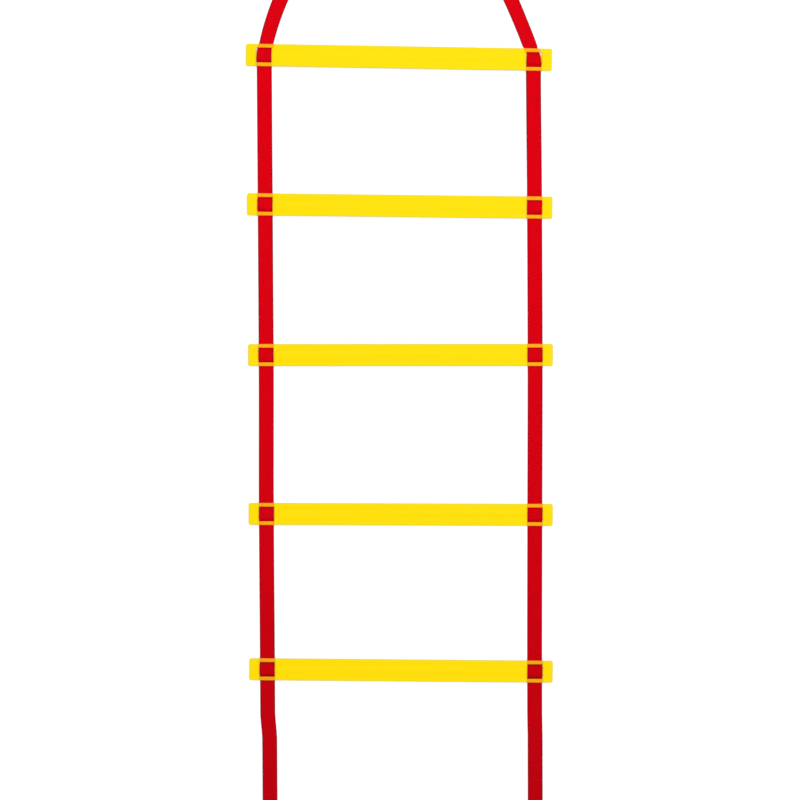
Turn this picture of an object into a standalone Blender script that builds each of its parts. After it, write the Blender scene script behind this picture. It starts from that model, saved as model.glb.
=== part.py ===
"""Agility ladder: flat plastic rungs woven on two lengths of webbing, with a sewn loop at each end.

Metres, +Z up. The ladder lies flat with the undersides of its straps on z = 0. Its rungs run along X,
its straps along Y, rung 1 is at +Y, and the origin is midway along it on the surface that it lies on.
"""

import math

import bpy
from mathutils import Vector

# Rung: a moulded slat with two slots at each end
RUNG_LENGTH = 0.420
RUNG_WIDTH = 0.030
RUNG_THICKNESS = 0.0025
RUNG_CORNER_RADIUS = 0.0026
RUNG_EDGE_ROUND = 0.0006
END_TAB = 0.0145
LIP_WIDTH = 0.0048
SLOT_WIDTH = 0.0056
SLOT_SIDE_CLEARANCE = 0.0006
SLOT_CORNER_RADIUS = 0.0008

# Webbing and its path through a rung
WEBBING_WIDTH = 0.020
WEBBING_THICKNESS = 0.0013
WEAVE_SLOPE = math.radians(50)
WEAVE_BEND_REACH = 0.0007

# Bays between rungs, first to last, and how far each rung lies off square
BAY_LENGTHS = (0.2037, 0.2051, 0.2204, 0.2167)
RUNG_TILTS = tuple(math.radians(angle) for angle in (-1.18, -0.88, -0.2, -0.41, -0.71))

# End loops: the straight stretch below the last rung, the run from there to the sewn crossing,
# how much the straps already lean in where each loop starts, and where the tails below the last
# rung give way to the bottom loop
STRAIGHT_TAIL = 0.182
TAIL_LENGTH = 0.348
LOOP_RUN = 0.270
LOOP_START_LEAN_SHARES = {"top": 0.3, "bottom": 0.0}
LOOP_STEP = 0.014
CROSSING_TAIL = 0.012
CROSSING_CLIMB = 0.018
CROSSING_LEVEL_REACH = 0.013

# Places where the straps bend when the ladder is folded
FOLD_LENGTH = 0.024
LOOP_FOLD_DISTANCE = 0.130

# Gap that touching pieces keep
CLEARANCE = 0.0003
WELD_DISTANCE = 0.00001

# Points in each rounded corner of an outline and in each bend of the webbing, and fineness of rounded edges
RUNG_CORNER_POINTS = 5
SLOT_CORNER_POINTS = 3
BEND_POINTS = 3
EDGE_ROUND_RESOLUTION = 1

RED = (0.716, 0.002, 0.007, 1.0)
YELLOW = (1.0, 0.776, 0.002, 1.0)
COLLECTION_NAME = "agility_ladder"

SIDES = {"left": -1, "right": 1}
ENDS = {"top": 1, "bottom": -1}
HALF_SPACING = RUNG_LENGTH / 2 - END_TAB - WEBBING_WIDTH / 2
RUNG_COUNT = len(BAY_LENGTHS) + 1

# Heights: the webbing's middle on the ground and over the bridge between two slots
LOW_LEVEL = WEBBING_THICKNESS / 2
RUNG_BOTTOM = WEBBING_THICKNESS + CLEARANCE
HIGH_LEVEL = RUNG_BOTTOM + RUNG_THICKNESS + CLEARANCE + WEBBING_THICKNESS / 2
CROSSING_LEVEL = LOW_LEVEL + WEBBING_THICKNESS + CLEARANCE

# Across a rung's end: the middle of each slot, and where the webbing's ramp starts and stops
SLOT_MIDDLE = RUNG_WIDTH / 2 - LIP_WIDTH - SLOT_WIDTH / 2
RAMP_RUN = (HIGH_LEVEL - LOW_LEVEL) / math.tan(WEAVE_SLOPE)
RAMP_FOOT = SLOT_MIDDLE + RAMP_RUN / 2
RAMP_HEAD = SLOT_MIDDLE - RAMP_RUN / 2

# Where each loop starts, from its end rung's centre: the straps lean in from there,
# by a lean that grows evenly up to the crossing
TILT_REACH = HALF_SPACING * math.tan(max(abs(tilt) for tilt in RUNG_TILTS))
LOOP_STARTS = {"top": RAMP_FOOT + TILT_REACH + 2 * WEAVE_BEND_REACH, "bottom": STRAIGHT_TAIL}
LOOP_BOWS = {}
CROSSING_SLOPES = {}
for end, lean_share in LOOP_START_LEAN_SHARES.items():
    LOOP_BOWS[end] = (HALF_SPACING - lean_share * LOOP_RUN) / LOOP_RUN**2
    CROSSING_SLOPES[end] = lean_share + 2 * LOOP_BOWS[end] * LOOP_RUN


def end_reach(end):
    """How far the ladder runs past the centre of an end rung, to the far corner of the crossed tails."""
    angle = math.atan(CROSSING_SLOPES[end])
    corner = CROSSING_TAIL * math.cos(angle) + WEBBING_WIDTH / 2 * math.sin(angle)
    return LOOP_STARTS[end] + LOOP_RUN + corner


# Places of the rungs along Y, with the origin midway between the ladder's two ends
FIRST_RUNG = (sum(BAY_LENGTHS) + end_reach("bottom") - end_reach("top")) / 2
RUNG_PLACES = [FIRST_RUNG - sum(BAY_LENGTHS[:number]) for number in range(RUNG_COUNT)]
END_RUNG_PLACES = {"top": RUNG_PLACES[0], "bottom": RUNG_PLACES[-1]}


def clear_scene():
    """Remove whatever the scene holds."""
    for scene_object in list(bpy.data.objects):
        bpy.data.objects.remove(scene_object, do_unlink=True)


def make_material(name, colour, roughness):
    """Plain Principled material for one kind of stuff."""
    material = bpy.data.materials.new(name)
    material.use_nodes = True
    shader = material.node_tree.nodes["Principled BSDF"]
    shader.inputs["Base Color"].default_value = colour
    shader.inputs["Roughness"].default_value = roughness
    shader.inputs["Metallic"].default_value = 0
    return material


def add_curve(name, collection, material):
    """Empty curve object in the ladder's collection."""
    curve = bpy.data.curves.new(name, "CURVE")
    piece = bpy.data.objects.new(name, curve)
    piece.data.materials.append(material)
    collection.objects.link(piece)
    return piece


def add_spline(curve, points, cyclic):
    """Straight-sided spline through the points."""
    spline = curve.splines.new("POLY")
    spline.points.add(len(points) - 1)
    for spline_point, point in zip(spline.points, points):
        spline_point.co = (*point, 1)
    spline.use_cyclic_u = cyclic
    return spline


def rounded_rectangle(centre_x, centre_y, length, width, radius, corner_points):
    """Points round a rectangle with rounded corners, in the plane of the rung."""
    points = []
    for corner, (sign_x, sign_y) in enumerate(((1, 1), (-1, 1), (-1, -1), (1, -1))):
        middle_x = centre_x + sign_x * (length / 2 - radius)
        middle_y = centre_y + sign_y * (width / 2 - radius)
        for step in range(corner_points):
            angle = math.pi / 2 * (corner + step / (corner_points - 1))
            x = middle_x + radius * math.cos(angle)
            y = middle_y + radius * math.sin(angle)
            points.append((x, y, 0))
    return points


def make_rung(number, collection, material):
    """Flat slat with a pair of slots and the bridge between them at each end."""
    rung = add_curve(f"rung_{number + 1}", collection, material)
    outline = rounded_rectangle(0, 0, RUNG_LENGTH, RUNG_WIDTH, RUNG_CORNER_RADIUS, RUNG_CORNER_POINTS)
    add_spline(rung.data, outline, True)
    slot_length = WEBBING_WIDTH + 2 * SLOT_SIDE_CLEARANCE
    for side in SIDES.values():
        for edge in (-1, 1):
            slot = rounded_rectangle(
                side * HALF_SPACING,
                edge * SLOT_MIDDLE,
                slot_length,
                SLOT_WIDTH,
                SLOT_CORNER_RADIUS,
                SLOT_CORNER_POINTS,
            )
            add_spline(rung.data, slot, True)
    rung.data.dimensions = "2D"
    rung.data.fill_mode = "BOTH"
    rung.data.extrude = RUNG_THICKNESS / 2 - RUNG_EDGE_ROUND
    rung.data.bevel_depth = RUNG_EDGE_ROUND
    rung.data.bevel_resolution = EDGE_ROUND_RESOLUTION
    rung.data.offset = -RUNG_EDGE_ROUND
    weld = rung.modifiers.new("weld_caps", "WELD")
    weld.merge_threshold = WELD_DISTANCE
    rung.location = (0, RUNG_PLACES[number], RUNG_BOTTOM + RUNG_THICKNESS / 2)
    rung.rotation_euler = (0, 0, RUNG_TILTS[number])
    return rung


def bend(before, corner, after):
    """Points that round one corner of a path."""
    start = corner + (before - corner).normalized() * WEAVE_BEND_REACH
    end = corner + (after - corner).normalized() * WEAVE_BEND_REACH
    points = []
    for step in range(BEND_POINTS):
        share = step / (BEND_POINTS - 1)
        points.append(start.lerp(corner, share).lerp(corner.lerp(end, share), share))
    return points


def weave_path(side, number):
    """Webbing's middle line through one rung: under a lip, up a slot, over the bridge, down and under."""
    middle = RUNG_PLACES[number] + side * HALF_SPACING * math.tan(RUNG_TILTS[number])
    x = side * HALF_SPACING
    lip = RUNG_WIDTH / 2
    corners = [
        Vector((x, middle - lip, LOW_LEVEL)),
        Vector((x, middle - RAMP_FOOT, LOW_LEVEL)),
        Vector((x, middle - RAMP_HEAD, HIGH_LEVEL)),
        Vector((x, middle + RAMP_HEAD, HIGH_LEVEL)),
        Vector((x, middle + RAMP_FOOT, LOW_LEVEL)),
        Vector((x, middle + lip, LOW_LEVEL)),
    ]
    points = []
    for before, corner, after in zip(corners, corners[1:], corners[2:]):
        points.extend(bend(before, corner, after))
    return points


def ground_point(side, y):
    """Point on the middle line of a strap that lies straight on the ground."""
    return Vector((side * HALF_SPACING, y, LOW_LEVEL))


def loop_point(side, end, distance):
    """Point on an end loop's middle line, at a distance along Y from the centre of the end rung."""
    run = max(distance - LOOP_STARTS[end], 0)
    lean = LOOP_START_LEAN_SHARES[end] * run + LOOP_BOWS[end] * run**2
    level = LOW_LEVEL
    if side < 0:
        to_crossing = (LOOP_RUN - run) * math.hypot(1, CROSSING_SLOPES[end])
        share = (CROSSING_LEVEL_REACH + CROSSING_CLIMB - to_crossing) / CROSSING_CLIMB
        share = min(max(share, 0), 1)
        level += (CROSSING_LEVEL - LOW_LEVEL) * share * share * (3 - 2 * share)
    y = END_RUNG_PLACES[end] + ENDS[end] * distance
    return Vector((side * (HALF_SPACING - lean), y, level))


def loop_path(side, end, start, stop):
    """Middle line of a strap in an end loop, between two distances from the centre of the end rung."""
    distances = [start]
    first_bend = max(start, LOOP_STARTS[end])
    if stop > first_bend:
        steps = max(round((stop - first_bend) / LOOP_STEP), 1)
        if first_bend > start:
            distances.append(first_bend)
        distances.extend(first_bend + (stop - first_bend) * step / steps for step in range(1, steps))
    distances.append(stop)
    return [loop_point(side, end, distance) for distance in distances]


def make_ribbon(name, path, collection, material):
    """Length of webbing along a middle line: a ribbon of its width, given its thickness."""
    ribbon = add_curve(name, collection, material)
    ribbon.data.dimensions = "3D"
    ribbon.data.twist_mode = "Z_UP"
    spline = add_spline(ribbon.data, path, False)
    for point in spline.points:
        point.tilt = math.pi / 2
    ribbon.data.extrude = WEBBING_WIDTH / 2
    thickness = ribbon.modifiers.new("thickness", "SOLIDIFY")
    thickness.thickness = WEBBING_THICKNESS
    thickness.offset = 0
    thickness.use_even_offset = True
    return ribbon


def make_strap(side_name, collection, material):
    """One strap from end to end, divided where it bends when the ladder is folded."""
    side = SIDES[side_name]
    half_fold = FOLD_LENGTH / 2
    seat = half_fold + CLEARANCE
    fold_places = [(upper + lower) / 2 for upper, lower in zip(RUNG_PLACES, RUNG_PLACES[1:])]
    for number in range(RUNG_COUNT):
        path = weave_path(side, number)
        if number == 0:
            path = path + loop_path(side, "top", LOOP_STARTS["top"], LOOP_FOLD_DISTANCE - seat)
        else:
            path = path + [ground_point(side, fold_places[number - 1] - seat)]
        if number == RUNG_COUNT - 1:
            path = [ground_point(side, END_RUNG_PLACES["bottom"] - LOOP_FOLD_DISTANCE + seat)] + path
        else:
            path = [ground_point(side, fold_places[number] + seat)] + path
        make_ribbon(f"strap_{side_name}_{number + 1}", path, collection, material)
    for number, place in enumerate(fold_places):
        path = [ground_point(side, place - half_fold), ground_point(side, place + half_fold)]
        make_ribbon(f"fold_{side_name}_{number + 1}{number + 2}", path, collection, material)
    for end in ENDS:
        path = loop_path(side, end, LOOP_FOLD_DISTANCE - half_fold, LOOP_FOLD_DISTANCE + half_fold)
        make_ribbon(f"fold_{side_name}_{end}", path, collection, material)
        start = LOOP_FOLD_DISTANCE + seat
        if end == "bottom":
            path = loop_path(side, end, start, TAIL_LENGTH - CLEARANCE)
            make_ribbon(f"tail_{side_name}", path, collection, material)
            start = TAIL_LENGTH + CLEARANCE
        crossing = LOOP_STARTS[end] + LOOP_RUN
        overlap = CROSSING_TAIL / math.hypot(1, CROSSING_SLOPES[end])
        path = loop_path(side, end, start, crossing + overlap)
        make_ribbon(f"loop_{side_name}_{end}", path, collection, material)


def main():
    clear_scene()
    collection = bpy.data.collections.new(COLLECTION_NAME)
    bpy.context.scene.collection.children.link(collection)
    plastic = make_material("yellow_plastic", YELLOW, 0.35)
    webbing = make_material("red_webbing", RED, 0.75)
    for number in range(RUNG_COUNT):
        make_rung(number, collection, plastic)
    for side_name in SIDES:
        make_strap(side_name, collection, webbing)


main()
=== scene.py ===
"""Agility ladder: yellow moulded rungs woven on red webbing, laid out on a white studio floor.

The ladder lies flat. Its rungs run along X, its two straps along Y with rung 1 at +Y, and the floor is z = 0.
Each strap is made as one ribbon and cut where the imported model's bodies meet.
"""

import math

import bpy
import numpy as np
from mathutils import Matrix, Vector


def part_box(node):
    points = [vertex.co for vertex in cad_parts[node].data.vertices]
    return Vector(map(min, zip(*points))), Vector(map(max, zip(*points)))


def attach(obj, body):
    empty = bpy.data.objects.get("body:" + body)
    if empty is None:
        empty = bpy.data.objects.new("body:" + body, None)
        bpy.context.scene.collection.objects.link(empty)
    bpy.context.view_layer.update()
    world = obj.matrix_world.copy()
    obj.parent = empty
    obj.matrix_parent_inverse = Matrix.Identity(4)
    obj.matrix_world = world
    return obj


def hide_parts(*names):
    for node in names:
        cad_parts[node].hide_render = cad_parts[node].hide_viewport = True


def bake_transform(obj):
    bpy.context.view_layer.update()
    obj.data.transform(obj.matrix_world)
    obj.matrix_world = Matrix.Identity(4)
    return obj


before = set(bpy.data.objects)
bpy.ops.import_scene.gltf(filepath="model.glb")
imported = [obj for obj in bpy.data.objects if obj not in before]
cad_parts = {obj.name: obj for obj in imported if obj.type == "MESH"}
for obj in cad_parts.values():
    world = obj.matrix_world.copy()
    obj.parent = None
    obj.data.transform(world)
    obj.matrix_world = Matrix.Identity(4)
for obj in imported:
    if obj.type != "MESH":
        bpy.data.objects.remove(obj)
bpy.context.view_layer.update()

bl_info = {
    "name": "Agility Ladder",
    "version": (1, 0, 0),
    "blender": (4, 5, 0),
    "location": "View3D > Sidebar > Ladder",
    "description": "Builds a flat agility ladder of slotted rungs woven on webbing",
    "category": "Add Mesh",
}

RUNG_COUNT = 5
SIDES = {"left": -1, "right": 1}
ENDS = {"top": 1, "bottom": -1}

# How far each rung lies off square, first to last
RUNG_TILTS = tuple(math.radians(angle) for angle in (-1.18, -0.88, -0.2, -0.41, -0.71))

# How far each rung lies along X from the ladder's middle
RUNG_SHIFTS = (-0.0001, 0.0002, 0.0005, 0.0, -0.0004)

RUNG_BOXES = [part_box(f"rung_{number}") for number in range(1, RUNG_COUNT + 1)]
RUNG_PLACES = [(low.y + high.y) / 2 for low, high in RUNG_BOXES]
FOLD_PLACES = [(upper + lower) / 2 for upper, lower in zip(RUNG_PLACES, RUNG_PLACES[1:])]
RUNG_BOTTOM = RUNG_BOXES[0][0].z
RUNG_TOP = RUNG_BOXES[0][1].z

# Length that the webbing's pattern counts for each strap from end to end
STRAP_LENGTH = 1.78

# Places nearer than this are one place, and the digits that the place of a cut is rounded to
HAIR = 0.000001
PLACE_DIGITS = 6

# Slope with which the top loop leaves the first rung, and how far past the weave its curve starts
TOP_LOOP_SLOPE = 0.3
LOOP_SETBACK = 0.0014

# From the nearest rung's middle to the line where an end loop lifts
LOOP_HINGE_REACH = 0.130

# How far beyond a rung's sides the webbing slides with it
RUNG_MARGIN = 0.004

# Half length of the webbing that bends at a fold, and how much of it bends on the side that stays down
FOLD_REACH = 0.012
FOLD_HEEL = 0.004

# Longest step along a strap where it lies flat and where it folds
FLAT_STEP = 0.004
FOLD_STEP = 0.0012

# How far a strap's end reaches past its crossing, along the webbing
END_REACH = 0.012

# How far from a rung's middle its slots hold the webbing, the run in which they free it, and its side gap
SLOT_HOLD = 0.0085
SLOT_RELEASE = 0.007
SLOT_PLAY = 0.00004

# How far along its ramps the webbing bends at each of its corners in a slot, and the gap before the first
CORNER_REACH = 0.0016
CORNER_GAP = 0.0003

# How far from a rung's middle the webbing lies square to the rung, and over what run it turns to its own way
TURN_HOLD = 0.0125
TURN_RELEASE = 0.0175
TURN_REACH = 0.012

# Where the left strap starts to climb over the right one before their crossing, and its run
CLIMB_START = 0.031
CLIMB_RUN = 0.018

# Run in which a strap eases from its loose part into an end loop's curve, and the step between its knots
EASE_REACH = 0.19
EASE_STEP = 0.02

# How far in from its straight line each strap lies at each rung, first to last, and past the last one
RUNG_SWAYS = {
    "left": (0.0003, 0.0005, 0.0006, -0.0004, -0.0001),
    "right": (0.0007, -0.0005, -0.0009, -0.0001, 0.0006),
}
TAIL_SWAYS = {"left": 0.0024, "right": 0.0001}

# How far below the last rung a strap starts and stops turning to that, and how far down it lies loose
TAIL_TURN = (0.056, 0.098)
TAIL_RUN = 0.181

# Where a strap starts to lean in above the first rung's weave, its slope there and how fast that grows
TOP_LEANS = {"left": (0.0022, 0.19, 1.6), "right": (0.0063, 0.36, 0.55)}

# Over what run it leans in before it eases into the top loop, and the step between its knots there
LEAN_RUN = 0.073
LEAN_STEP = 0.01

# Gathers: height above the first rung's weave, how much narrower, and how far each reaches below and above
STRAP_GATHERS = {
    "left": ((0.012, 0.0011, 0.024, 0.075),),
    "right": ((0.030, 0.0013, 0.030, 0.110), (0.010, 0.0022, 0.016, 0.012)),
}

# How far in the webbing's painted see-through lies under the first rung's far lip, where the strap leans into
# the top loop
FIRST_RUNG_DRIFT = 0.0033

# Webbing's section: how far its borders bulge, in half thicknesses, and the steps round them and over a face
BORDER_BULGE = 1.1
BORDER_STEPS = 6
FACE_STEPS = 5

# Border kept flat round a rung's faces, and how nearly upright a flat face's normal is
FLAT_BORDER = 0.0003
FLAT_NORMAL = 0.999

# A stitch: its points round and along, how much of its length is thread, its rise, its dive and its thinning
STITCH_SIDES = 6
STITCH_RINGS = 5
STITCH_SHARE = 0.86
STITCH_RISE = 1.6
STITCH_DIVE = 0.75
STITCH_THINNING = 0.25

# Points nearer than this are merged in a rung, in webbing and in a stitch
RUNG_MERGE = 0.000002
WEBBING_MERGE = 0.00001
STITCH_MERGE = 0.000005

# Bends sharper than this stay sharp on a rung, on webbing and on thread
RUNG_CREASE = math.radians(40)
WEBBING_CREASE = math.radians(50)
THREAD_CREASE = math.radians(60)

# Weave's relief: slant of its yarns, height of yarns and of the ribs between grooves, and its borders'
YARN_SLANT = 0.8
YARN_HEIGHT = 0.55
RIB_HEIGHT = 0.45
GROOVE_POWER = 0.5
BORDER_END = 0.0101
BORDER_YARNS = 2
BORDER_SWING = 0.3
BORDER_HEIGHT = 0.4

# Weave's tone, with painted shade where its relief is low: scales and share of its mottle, borders' height in
# it, and its darkest and lightest
BROAD_MOTTLE = (160.0, 55.0, 1.0)
FINE_MOTTLE = (900.0, 420.0, 1.0)
FINE_SHARE = 0.6
MOTTLE_GAIN = 2.0
BORDER_TONE = 0.45
LIGHT_HEIGHT = 0.8
GROOVE_SHADE_TONES = (0.66, 1.04)

# Masks on a rung: the band of painted shade at its edge, the soft blur at the sides of the webbing's painted
# see-through, and the band of painted reflection round a slot
EDGE_SHADE_BAND = (-0.0016, -0.0005)
WEBBING_BLUR = 0.0018
RIM_REFLECTION_BAND = (0.0002, 0.0016)

# Plastic: scales and ranges of its grain and clouds, shares of its painted reflection round the slots and
# painted shade at its edges, roughness, gloss and relief
GRAIN_SCALE = 1400.0
GRAIN_RANGE = (0.2, 0.8)
CLOUD_SCALE = 38.0
CLOUD_RANGE = (0.3, 0.7)
CLOUD_SHARE = 0.05
RIM_REFLECTION_SHARE = 0.75
EDGE_SHADE_SHARE = 0.85
PLASTIC_ROUGHNESS = (0.38, 0.50)
PLASTIC_GLOSS = 0.05
GRAIN_STRENGTH = 0.25
GRAIN_DEPTH = 0.00006

# Webbing: its melted ends, the share of its border's tint, roughness, gloss and relief, bare and melted
MELT_BAND = (0.0004, 0.0018)
BORDER_SHARE = 0.9
WEBBING_ROUGHNESS = 0.72
MELTED_ROUGHNESS = 0.32
WEBBING_GLOSS = 0.02
MELTED_RELIEF = 0.15
WEAVE_STRENGTH = 0.6
WEAVE_DEPTH = 0.00022

# Thread: length of its twist, tone of its dark strands, roughness, gloss and relief
TWIST_PITCH = 0.0007
STRAND_TONE = 0.7
THREAD_ROUGHNESS = 0.5
THREAD_GLOSS = 0.3
TWIST_STRENGTH = 0.6
TWIST_DEPTH = 0.00008

# Studio: its white, its floor, the soft light overhead, and the pale world's strength on the ladder
WHITE = (1.0, 1.0, 1.0, 1.0)
FLOOR_SIZE = 14.0
FLOOR_STEPS = 4
FLOOR_DROP = 0.0003
FLOOR_GREY = 0.62
FLOOR_ROUGHNESS = 0.9
FLOOR_GLOW = 0.52
LIGHT_SIZE = 3.2
LIGHT_POWER = 55.0
LIGHT_PLACE = (0.6, 1.3, 3.2)
WORLD_STRENGTH = 0.72

# Camera: its lens in millimetres, lean, roll and distance, and its aim from the third rung's middle
LENS = 100.0
SENSOR = 36.0
CAMERA_LEAN = math.radians(1.86)
CAMERA_ROLL = math.radians(-0.22)
CAMERA_DISTANCE = 3.067
AIM_BELOW = 0.0621
AIM_HEIGHT = 0.0035

# Painted shade, darkening the red towards the straps' bottom ends: where along a strap it starts, over what
# run, how fast, by how much and at most
SHADE_FALLOFF_START = 0.55
SHADE_FALLOFF_RUN = 0.8
SHADE_FALLOFF_POWER = 1.7
SHADE_FALLOFF_SHARE = 0.45
SHADE_FALLOFF_LIMIT = 0.6


# Settings that the panel shows

def length_setting(name, description, value):
    return bpy.props.FloatProperty(name=name, description=description, default=value, unit="LENGTH")


def colour_setting(name, description, value):
    return bpy.props.FloatVectorProperty(
        name=name, description=description, default=value, size=3, subtype="COLOR"
    )


class LadderSizes(bpy.types.PropertyGroup):
    """Sizes of the ladder's rungs and webbing."""

    rung_length: length_setting("Rung Length", "Length of a rung from end to end", 0.4204)
    rung_width: length_setting("Rung Width", "Width of a rung along the straps", 0.0304)
    corner_radius: length_setting("Corner Radius", "Rounding of a rung's four corners", 0.0026)
    edge_radius: length_setting("Edge Radius", "Rounding of a rung's moulded edges", 0.0006)
    slot_length: length_setting("Slot Length", "Length of a slot along the rung", 0.0208)
    slot_width: length_setting("Slot Width", "Width of a webbing slot", 0.0056)
    slot_corner_radius: length_setting("Slot Corner Radius", "Rounding of a slot's corners", 0.0008)
    lip_width: length_setting("Lip Width", "Strip of plastic outside each slot", 0.005)
    half_spacing: length_setting("Half Spacing", "From the ladder's middle to a strap's middle", 0.1855)
    webbing_width: length_setting("Webbing Width", "Width of the webbing", 0.0206)
    webbing_thickness: length_setting("Webbing Thickness", "Thickness of the webbing", 0.0013)
    clearance: length_setting("Clearance", "Gap between webbing and plastic", 0.0003)
    weave_slope: bpy.props.FloatProperty(
        name="Weave Slope",
        description="Slope of the webbing in a slot",
        default=math.radians(50),
        subtype="ANGLE",
    )
    loop_run: length_setting("Loop Run", "Length of an end loop along the ladder", 0.270)
    straight_tail: length_setting("Straight Tail", "Straight webbing below the last rung", 0.182)
    stitch_length: length_setting("Stitch Length", "Length of one sewn stitch", 0.0024)
    thread_radius: length_setting("Thread Radius", "Radius of the sewing thread", 0.00024)
    stitch_box: length_setting("Stitch Box", "Width of the sewn box at a crossing", 0.0124)


class LadderColours(bpy.types.PropertyGroup):
    """Colours of the ladder's plastic, webbing and thread."""

    plastic: colour_setting("Plastic", "Moulded rungs", (1.0, 0.722, 0.0005))
    plastic_cloud: colour_setting("Plastic Cloud", "Faintly deeper patches of the rungs", (0.93, 0.66, 0.002))
    # Painted reflection and shade: warm red round the slots, from the webbing beside them
    plastic_rim_reflection: colour_setting("Plastic Rim", "Warmer rim round the slots", (1.0, 0.60, 0.018))
    # Painted shade on a rung's rounded edges
    plastic_edge_shade: colour_setting("Plastic Edge Shade", "Rounded edges of a rung", (0.80, 0.68, 0.02))
    # Painted see-through: the red of the webbing under the plastic, painted into its colour
    webbing_seen_through_plastic: colour_setting(
        "Plastic over Webbing", "Thin plastic where the webbing shows through it", (0.98, 0.43, 0.005)
    )
    # Painted shade on the rounded edge, over the painted see-through of the webbing
    edge_shade_over_webbing: colour_setting(
        "Edge Shade over Webbing", "Rounded edge where the webbing shows through it", (1.0, 0.33, 0.013)
    )
    # Painted see-through of webbing whose red the painted shade has darkened
    shaded_webbing_seen_through_plastic: colour_setting(
        "Plastic over Shaded Webbing",
        "Thin plastic where the webbing that shows through it is of the deeper red",
        (0.60, 0.294, 0.004),
    )
    webbing: colour_setting("Webbing", "Woven straps", (0.72, 0.0, 0.0055))
    webbing_edge: colour_setting("Webbing Edge", "Woven borders of the straps", (0.30, 0.003, 0.016))
    # Painted shade: the red darkens towards the straps' bottom ends, where the light falls off
    webbing_shaded: colour_setting(
        "Shaded Webbing", "Deeper red towards the straps' far ends", (0.30, 0.0005, 0.003)
    )
    webbing_melted: colour_setting("Melted Webbing", "Melted cut ends of the straps", (0.20, 0.001, 0.003))
    thread: colour_setting("Thread", "Sewing thread", (0.50, 0.002, 0.006))


# Blender's mesh and object steps

def sizes():
    return bpy.context.scene.ladder_sizes


def colours():
    return bpy.context.scene.ladder_colours


def deselect_all():
    bpy.ops.object.select_all(action="DESELECT")


def select_only(piece):
    deselect_all()
    piece.select_set(True)
    bpy.context.view_layer.objects.active = piece


def active_piece(name):
    """The object that an operator has just added, renamed and selected alone."""
    piece = bpy.context.active_object
    piece.name = name
    piece.data.name = name
    select_only(piece)
    return piece


def copy_piece(piece, name):
    """Copy of a piece with a mesh of its own."""
    select_only(piece)
    bpy.ops.object.duplicate(linked=False)
    return active_piece(name)


def new_object(name, data):
    made = bpy.data.objects.new(name, data)
    bpy.context.scene.collection.objects.link(made)
    return made


def new_grid(name, columns, rows, size=1.0):
    """Flat square grid, cut into columns along X and rows along Y."""
    deselect_all()
    bpy.ops.mesh.primitive_grid_add(x_subdivisions=columns, y_subdivisions=rows, size=size)
    return active_piece(name)


def lay_down(piece, place, turn=0.0):
    """Turn the active piece about the vertical and move it to its place, in its mesh."""
    piece.rotation_euler = (0, 0, turn)
    piece.location = place
    bpy.ops.object.transform_apply(location=True, rotation=True, scale=True)


def point_positions(mesh):
    places = np.zeros(len(mesh.vertices) * 3)
    mesh.vertices.foreach_get("co", places)
    return places.reshape(-1, 3)


def rounded_outline(curve, middle, lengths, radius, steps=6):
    """Closed outline of a rectangle with rounded corners, added to a flat curve."""
    points = []
    for quarter, (right, up) in enumerate(((1, 1), (-1, 1), (-1, -1), (1, -1))):
        x = middle[0] + right * (lengths[0] / 2 - radius)
        y = middle[1] + up * (lengths[1] / 2 - radius)
        for step in range(steps + 1):
            angle = (quarter + step / steps) * math.pi / 2
            points.append((x + radius * math.cos(angle), y + radius * math.sin(angle), 0, 1))
    spline = curve.splines.new("POLY")
    spline.points.add(len(points) - 1)
    for point, place in zip(spline.points, points):
        point.co = place
    spline.use_cyclic_u = True


def write_surface_map(piece, across_along):
    """UV map in metres: across and along the piece for each of its points."""
    mesh = piece.data
    layer = mesh.uv_layers.get("UVMap") or mesh.uv_layers.new(name="UVMap")
    corner_points = np.zeros(len(mesh.loops), dtype=int)
    mesh.loops.foreach_get("vertex_index", corner_points)
    layer.data.foreach_set("uv", np.asarray(across_along)[corner_points].astype(np.float32).ravel())


def close_shell(merge):
    """Merge the active piece's doubled points, close its open ends and turn its faces outwards."""
    bpy.ops.object.mode_set(mode="EDIT")
    bpy.ops.mesh.select_all(action="SELECT")
    bpy.ops.mesh.remove_doubles(threshold=merge)
    bpy.ops.mesh.select_all(action="SELECT")
    bpy.ops.mesh.fill_holes(sides=0)
    bpy.ops.mesh.select_all(action="SELECT")
    bpy.ops.mesh.normals_make_consistent(inside=False)
    bpy.ops.object.mode_set(mode="OBJECT")


def dress(piece, material):
    piece.data.materials.clear()
    piece.data.materials.append(material)


# Shader building

def opaque(colour):
    return (*colour, 1.0)


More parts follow.
